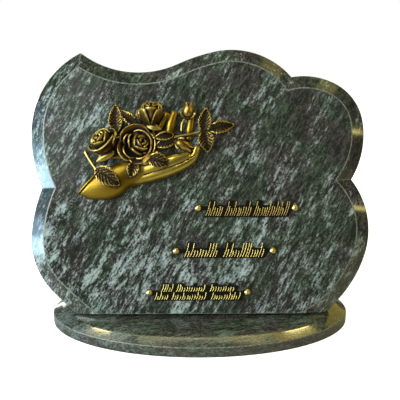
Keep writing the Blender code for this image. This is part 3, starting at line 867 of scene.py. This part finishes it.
# Rows (left and right end, foot line, height of a low and a tall stroke), groups of strokes as
# shares of a row, distance from stroke to stroke, how far they are rubbed to gold
stripRows = {
    "top": (
        ((6.5, 103.0, 114.6, 11.4, 17.0),),
        ((0.0, 0.2), (0.23, 0.55), (0.58, 1.0)),
        2.7,
        0.35,
    ),
    "middle": (((-18.5, 74.5, 66.6, 9.2, 16.0),), ((0.0, 0.42), (0.49, 1.0)), 3.2, 0.9),
    "bottom": (
        ((-53.5, 46.5, 17.0, 5.6, 8.4), (-45.5, 40.0, 26.4, 5.6, 8.4)),
        ((0.0, 0.16), (0.2, 0.6), (0.66, 1.0)),
        2.8,
        1.0,
    ),
}
stripLook = {
    "ground": (0.004, 0.003, 0.002),
    "gold": (0.56, 0.45, 0.14),
    "dull": (0.20, 0.12, 0.03),
}


def strokePlaces(rows, groups, pitch):
    draw = np.random.default_rng(strip["seed"]).random
    found = []
    for left, right, foot, low, tall in rows:
        for start, end in groups:
            first, length = left + (right - left) * start, (right - left) * (end - start)
            count = max(2, round(length / pitch))
            for i in range(count):
                isTall = i == 0 or draw() < strip["tallShare"]
                height = tall if isTall else low * (0.75 + 0.3 * draw())
                place = first + length / count * (i + 0.2 * draw())
                found.append((place, foot, height, 0.9 + 0.2 * draw()))
    return found


def addSocket(tree, name, kind, output=False):
    way = "OUTPUT" if output else "INPUT"
    return tree.interface.new_socket(name, in_out=way, socket_type=kind)


def openTree(name, **kinds):
    tree = bpy.data.node_groups.new(name, "GeometryNodeTree")
    addSocket(tree, "Geometry", "NodeSocketGeometry")
    for socketName, kind in kinds.items():
        addSocket(tree, socketName, kind)
    addSocket(tree, "Material", "NodeSocketMaterial")
    addSocket(tree, "Geometry", "NodeSocketGeometry", True)
    inputs = tree.nodes.new("NodeGroupInput").outputs
    return Wire(tree), {socket.name: Wire(tree, socket) for socket in inputs if socket.name}


def closeTree(wire, shape, given):
    sockets = {"Geometry": shape, "Material": given["Material"]}
    shape = wire.make("GeometryNodeSetMaterial", {}, sockets)
    output = wire.tree.nodes.new("NodeGroupOutput")
    wire.tree.links.new(shape.socket, output.inputs[0])
    return wire.tree


def strokeTree():
    kind = "NodeSocketFloat"
    wire, given = openTree("strokes", Width=kind, Rise=kind, Bow=kind, Slant=kind)

    def named(name):
        return wire.make("GeometryNodeInputNamedAttribute", {"data_type": "FLOAT"}, {"Name": name})

    def moved(shape, offset):
        return wire.make("GeometryNodeSetPosition", {}, {"Geometry": shape, "Offset": offset})

    def climbed():
        place = wire.make("GeometryNodeInputPosition")
        return wire.make("ShaderNodeSeparateXYZ", {}, {0: place}, 1)

    line = wire.make("GeometryNodeCurvePrimitiveLine", {}, {"Start": (0, 0, 0), "End": (0, 1, 0)})
    line = wire.make("GeometryNodeResampleCurve", {}, {"Curve": line, "Count": 15})
    ends = (wire.make("GeometryNodeSplineParameter") * 2 - 1).size()
    taper = wire.sum("POWER", 1 - wire.sum("POWER", ends, 7.0) * 0.93, 0.5)
    line = wire.make("GeometryNodeSetCurveRadius", {}, {"Curve": line, "Radius": taper})
    ring = wire.make("GeometryNodeCurvePrimitiveCircle", {}, {"Resolution": 8, "Radius": 0.5})
    bar = wire.make("GeometryNodeCurveToMesh", {}, {0: line, 1: ring, "Fill Caps": True})
    bow = wire.sum("SINE", climbed() * pi) * given["Bow"]
    bar = moved(bar, wire.make("ShaderNodeCombineXYZ", {}, {0: bow}))
    girth = named("girth") * given["Width"]
    scale = {0: girth, 1: named("height"), 2: given["Rise"] * 2}
    scale = wire.make("ShaderNodeCombineXYZ", {}, scale)
    sockets = {"Points": given["Geometry"], "Instance": bar, "Scale": scale}
    bars = wire.make("GeometryNodeInstanceOnPoints", {}, sockets)
    bars = wire.make("GeometryNodeRealizeInstances", {}, {"Geometry": bars})
    climb = (climbed() - named("foot")) * wire.sum("TANGENT", given["Slant"])
    bars = moved(bars, wire.make("ShaderNodeCombineXYZ", {}, {0: climb}))
    bars = wire.make("GeometryNodeSetShadeSmooth", {}, {0: bars})
    return closeTree(wire, bars, given)


# Runs a node group on an object and leaves a plain mesh
def grow(obj, tree, values):
    modifier = obj.modifiers.new("grow", "NODES")
    modifier.node_group = tree
    for item in tree.interface.items_tree:
        if item.in_out == "INPUT" and item.name in values:
            modifier[item.identifier] = values[item.name]
    return plainMesh(obj)


def makeStrokes(name, tree, material):
    rows, groups, pitch, _ = stripRows[name]
    places = strokePlaces(rows, groups, pitch)
    level = strip["plateTop"] - strip["sunk"]
    mesh = bpy.data.meshes.new("strokes_" + name)
    mesh.from_pydata([(x, y, level) for x, y, *_ in places], [], [])
    for column, attribute in ((1, "foot"), (2, "height"), (3, "girth")):
        saveAttribute(mesh, attribute, np.array([place[column] for place in places]))
    values = {socket: strip[socket.lower()] for socket in ("Width", "Rise", "Bow", "Slant")}
    values["Material"] = material
    return grow(newObject("strokes_" + name, mesh), tree, values)


def makePlate(node):
    bm = cadCopy(node)
    bmesh.ops.transform(bm, matrix=onTablet.inverted(), verts=bm.verts)
    cutAway(bm, (0, 0, strip["plateTop"] - 0.01), (0, 0, 1))
    bmesh.ops.dissolve_limit(bm, angle_limit=radians(1), verts=bm.verts, edges=bm.edges)
    return roundArrises(fromBmesh("plate", bm), strip["arris"], 2, radians(40))


def makeStrip(name, tree, material):
    plate, strokes = makePlate("inscription_strip_" + name), makeStrokes(name, tree, material)
    bm = bmesh.new()
    for part in (plate, strokes):
        bm.from_mesh(part.data)
        bpy.data.objects.remove(part)
    for layer in bm.verts.layers.float.values():
        bm.verts.layers.float.remove(layer)
    obj = fromBmesh("bronze_strip_" + name, bm)
    saveAttribute(obj.data, "rubbed", np.full(len(obj.data.vertices), stripRows[name][3]))
    obj.data.transform(onTablet)
    obj.data.shade_smooth()
    dress(obj, (material,), "strip_bronze", "inscription_strip_" + name)
    return obj


def stripBronze():
    look = stripLook
    material, wire, place = startMaterial("strip_bronze_dark_and_gold")
    face = (onTablet @ Vector((0, 0, strip["plateTop"]))).dot(outward) / mm
    mottle = place.noise(2.0, 3.0) - 0.5
    lift = (place.dot(outward) - face + mottle * 0.3).ease(0.15, 0.6)
    gold = wire.attribute("rubbed").blend(look["dull"], look["gold"])
    colour = lift.blend(look["ground"], gold)
    roughness = 0.5 - lift * 0.14 + mottle * 0.1
    values = {"Base Color": colour, "Roughness": roughness, "Metallic": lift}
    values["Specular IOR Level"] = 0.12
    return finish(material, values)


def makeStrips():
    tree, material = strokeTree(), stripBronze()
    for name in stripRows:
        print("strip", name + ":", len(makeStrip(name, tree, material).data.polygons), "faces")


makeStrips()


# Screws: six domed heads, each on its lug

screw = {
    "radius": 3.9,
    "height": 2.8,
    "edge": 0.5,
    "seat": 2.2,
    "sides": 40,
    "steps": 12,
    "colour": (0.88, 0.74, 0.38),
    "shaded": (0.62, 0.47, 0.15),
}
screwPlaces = {
    "top": ((-2.4, 123.8), (111.6, 123.8)),
    "middle": ((-28.4, 73.6), (85.2, 73.6)),
    "bottom": ((-59.8, 25.1), (55.0, 25.1)),
}


def domeProfile():
    radius, edge, steps = screw["radius"], screw["edge"], screw["steps"]
    dome = screw["height"] - edge
    sphere = (radius**2 + dome**2) / (2 * dome)
    opening = asin(radius / sphere)
    levels = [(radius - 0.1, 0.0), (radius, 0.12), (radius, edge - 0.1)]
    for i in range(steps):
        angle = opening * (1 - (i + 0.3) / steps)
        levels.append((sphere * sin(angle), edge + sphere * (cos(angle) - cos(opening))))
    return levels


def screwTree():
    wire, given = openTree("screws", Head="NodeSocketObject")
    head = wire.make("GeometryNodeObjectInfo", {}, {"Object": given["Head"]}, 4)
    sockets = {"Points": given["Geometry"], "Instance": head}
    heads = wire.make("GeometryNodeInstanceOnPoints", {}, sockets)
    heads = wire.make("GeometryNodeRealizeInstances", {}, {"Geometry": heads})
    return closeTree(wire, heads, given)


def screwBrass():
    material, wire, place = startMaterial("screw_brass_polished")
    mottle = place.noise(2.5, 2.0)
    colour = mottle.ease(0.35, 0.7).blend(screw["shaded"], screw["colour"])
    roughness = 0.28 + mottle * 0.1
    return finish(material, {"Base Color": colour, "Roughness": roughness, "Metallic": 1.0})


def makeScrews():
    bm = bmesh.new()
    turns = [2 * pi * i / screw["sides"] for i in range(screw["sides"])]
    loft(bm, [[Vector((r * cos(a), r * sin(a), h)) for a in turns] for r, h in domeProfile()])
    head = fromBmesh("head", bm)
    head.data.shade_smooth()
    mesh = bpy.data.meshes.new("screws")
    places = [(x, y, screw["seat"]) for pair in screwPlaces.values() for x, y in pair]
    mesh.from_pydata(places, [], [])
    material = screwBrass()
    obj = grow(newObject("brass_screws", mesh), screwTree(), {"Head": head, "Material": material})
    bpy.data.objects.remove(head)
    obj.data.transform(onTablet)
    nodes = ["screw_" + row + "_" + side for row in screwPlaces for side in ("left", "right")]
    dress(obj, (material,), "screw_brass", *nodes)
    return obj


print("screws:", len(makeScrews().data.polygons), "faces")


# Room: a pale floor, soft lamps and the camera at the photograph's angle

room = {
    "floorHalf": 30.0,
    "floorColour": (0.46, 0.46, 0.42),
    "floorSeenColour": (0.86, 0.86, 0.86),
    "floorGlow": 0.04,
    "floorSeenGlow": 0.92,
    "worldColour": (0.12, 0.12, 0.11),
    "worldSeen": (1.0, 1.0, 1.0),
}
# name: place, aim, width, height, power, colour
lamps = {
    "key": ((-1.45, -1.3, 1.0), (0, 0, 0.15), 0.9, 0.9, 35.5, (0.99, 1.0, 0.95)),
    "top": ((-0.6, -1.15, 1.75), (0, 0, 0.15), 0.3, 0.3, 7, (1.0, 1.0, 0.90)),
    "haze": ((-0.85, -1.75, 1.3), (-0.1, 0, 0.2), 0.9, 0.8, 1.3, (0.88, 1.0, 0.94)),
    "window": ((-1.5, -0.5, 0.5), (-0.18, 0, 0.16), 1.1, 1.0, 3.4, (0.32, 0.68, 1.0)),
    "sill": ((-1.25, -0.50, 0.13), (-0.18, 0, 0.14), 0.9, 0.26, 8.4, (0.56, 0.83, 1.0)),
    "pane": ((-1.25, -0.50, 0.34), (-0.18, 0, 0.20), 0.9, 0.17, 1.8, (0.48, 0.78, 1.0)),
    "fill": ((1.5, -1.2, 0.9), (0, 0, 0.15), 0.7, 0.7, 4.6, (1.0, 0.72, 0.08)),
    "sky": ((-0.12, 0.36, 1.5), (-0.12, -0.06, 0), 0.7, 0.4, 1.9, (1.0, 0.97, 0.52)),
    "leftSky": ((-0.75, 0.40, 1.4), (-0.5, 0, 0), 0.5, 0.5, 1.2, (0.86, 1.0, 0.88)),
    "warmSky": ((0.38, 0.36, 1.5), (0.38, -0.06, 0), 0.3, 0.4, 0.9, (1.0, 0.88, 0.32)),
    "rightSky": ((0.78, 0.40, 1.4), (0.5, 0, 0), 0.5, 0.5, 1.4, (1.0, 0.76, 0.12)),
    "rightWall": ((1.1, 1.0, 0.80), (0.1, 0, 0.1), 1.0, 0.9, 2.6, (1.0, 0.76, 0.08)),
    "back": ((-0.7, 2.2, 0.46), (0, 0, 0.15), 1.2, 0.8, 15, (1.0, 0.98, 0.94)),
    "crown": ((0.75, -0.05, 1.45), (0.1, 0.05, 0.3), 0.40, 0.36, 0.40, (1.0, 0.82, 0.16)),
    "leftGlint": ((-0.74, 0.46, 1.32), (-0.1, -0.08, 0), 0.08, 0.20, 1.8, (1.0, 0.86, 0.40)),
    "rightGlint": ((0.75, 0.46, 1.32), (0.1, -0.08, 0), 0.09, 0.26, 2.2, (1.0, 0.82, 0.32)),
    "sideGlint": ((1.38, -0.40, 0.57), (0.17, 0, 0.2), 0.07, 0.07, 0.14, (1.0, 0.80, 0.26)),
}
lens = {
    "place": (-0.00806, -0.75155, 0.36192),
    "down": radians(15.78),
    "towardsRight": radians(0.61),
    "focal": 59.42,
    "sensor": 36.0,
}


def makeFloor():
    half = room["floorHalf"]
    mesh = bpy.data.meshes.new("floor")
    corners = [(-half, -half, 0), (half, -half, 0), (half, half, 0), (-half, half, 0)]
    mesh.from_pydata(corners, [], [(0, 1, 2, 3)])
    floor = newObject("floor", mesh)
    floor.location.z = -0.2 * mm
    material, wire, _ = startMaterial("floor_paint")
    seen = wire.make("ShaderNodeLightPath")  # 1 where the camera sees the floor itself
    glow = (seen * (room["floorSeenGlow"] - room["floorGlow"]) + room["floorGlow"]).grey()
    colour = seen.blend(room["floorColour"], room["floorSeenColour"])
    values = {"Base Color": colour, "Roughness": 0.9}
    values |= {"Emission Color": glow, "Emission Strength": 1.0}
    mesh.materials.append(finish(material, values))


def makeWorld():
    world = bpy.data.worlds.new("studio")
    bpy.context.scene.world = world
    world.use_nodes = True
    wire = Wire(world.node_tree)
    seen = wire.make("ShaderNodeLightPath")
    background = world.node_tree.nodes["Background"]
    wire.plug(background.inputs[0], seen.blend(room["worldColour"], room["worldSeen"]))


def makeLamp(name, place, aim, width, height, power, colour):
    lamp = bpy.data.lights.new(name, "AREA")
    lamp.shape = "RECTANGLE"
    lamp.size, lamp.size_y = width, height
    lamp.energy = power
    lamp.color = colour
    obj = newObject(name, lamp)
    obj.location = place
    obj.rotation_euler = (Vector(aim) - Vector(place)).to_track_quat("-Z", "Y").to_euler()


def makeCamera():
    data = bpy.data.cameras.new("camera")
    data.lens = lens["focal"]
    data.sensor_width = lens["sensor"]
    data.clip_start = 0.01
    camera = newObject("camera", data)
    camera.location = lens["place"]
    camera.rotation_euler = (pi / 2 - lens["down"], 0, -lens["towardsRight"])
    bpy.context.scene.camera = camera


makeFloor()
makeWorld()
for name, values in lamps.items():
    makeLamp(name, *values)
makeCamera()
bpy.context.scene.view_settings.view_transform = "Standard"
print("room: floor, world,", len(lamps), "lamps and camera")
